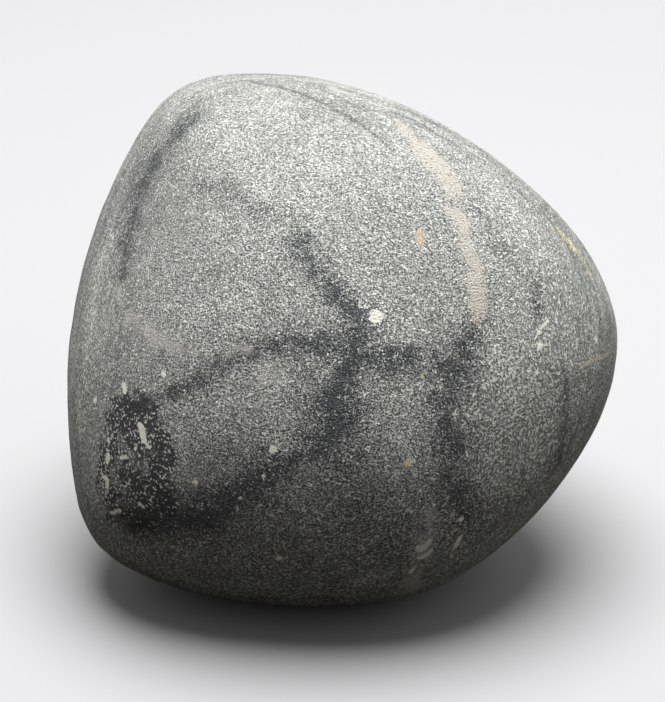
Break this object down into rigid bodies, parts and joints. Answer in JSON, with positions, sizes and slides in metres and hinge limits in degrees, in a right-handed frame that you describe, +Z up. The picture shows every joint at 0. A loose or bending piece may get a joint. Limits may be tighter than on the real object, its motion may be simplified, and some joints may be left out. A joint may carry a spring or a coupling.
{
  "type": "gastrolith",
  "caption": "Rounded, worn grey stone with a rounded-triangle outline, a broad front face and pale and dark veins, standing on a small flat of its underside.",
  "frame": {"origin": "on the surface that the stone stands on, under the middle of the stone's box", "axes": "+Z up; the broad face looks towards -Y and up; +X runs across the broad face, to the right as it is seen from the front"},
  "size_m": [0.064, 0.053, 0.0573],
  "materials": {
    "stone": "fine-grained, worn to a soft satin polish"
  },
  "bodies": {
    "root": {"stone": "stone"}
  },
  "joints": []
}
